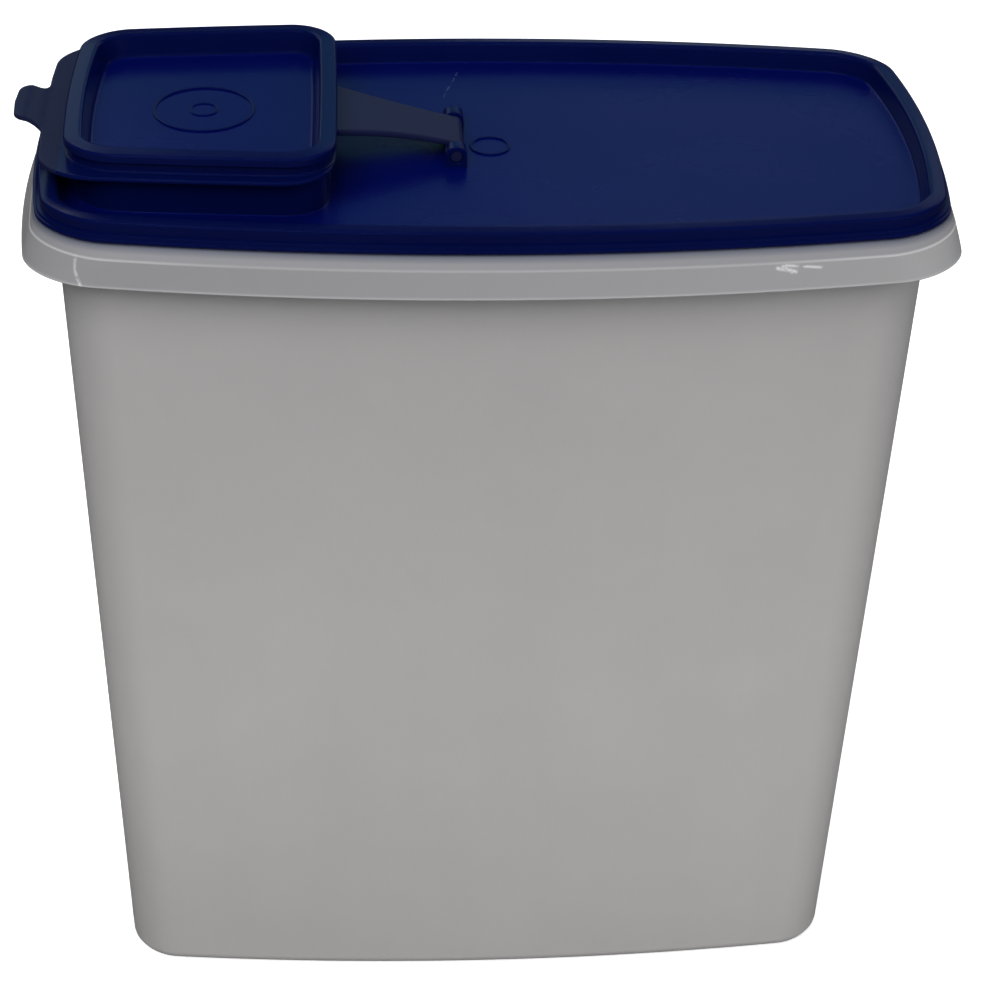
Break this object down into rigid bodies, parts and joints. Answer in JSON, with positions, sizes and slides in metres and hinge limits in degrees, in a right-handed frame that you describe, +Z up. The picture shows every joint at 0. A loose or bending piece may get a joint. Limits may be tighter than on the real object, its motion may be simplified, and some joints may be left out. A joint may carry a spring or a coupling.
{
  "type": "cereal container with flip spout",
  "caption": "Tall narrow dry-food keeper: a frosted bow-sided bin with a skirted collar, a press-on lid with a raised pouring spout, and a hinged cap with a pull tab.",
  "frame": {"origin": "middle of the flat underside of the container, where it stands", "axes": "+Z up through the lid, X along the long side with the spout and the pull tab at -X, Y across the narrow depth"},
  "size_m": [0.2279, 0.1172, 0.2493],
  "materials": {
    "frosted_body": "frosted translucent, satin",
    "navy_lid": "smooth, half gloss",
    "navy_cap": "smooth, half gloss"
  },
  "bodies": {
    "container": {"container": "frosted_body"},
    "lid": {"lid": "navy_lid"},
    "flip_cap": {"flip_cap": "navy_cap"}
  },
  "joints": [
    {"name": "lid_lift", "type": "slide", "parent": "container", "child": "lid", "axis": [0, 0, 1], "range_m": [0, 0.06]},
    {"name": "cap_flip", "type": "hinge", "parent": "lid", "child": "flip_cap", "pos_m": [-0.0087, 0, 0.2362], "axis": [0, 1, 0], "range_deg": [0, 158]}
  ]
}
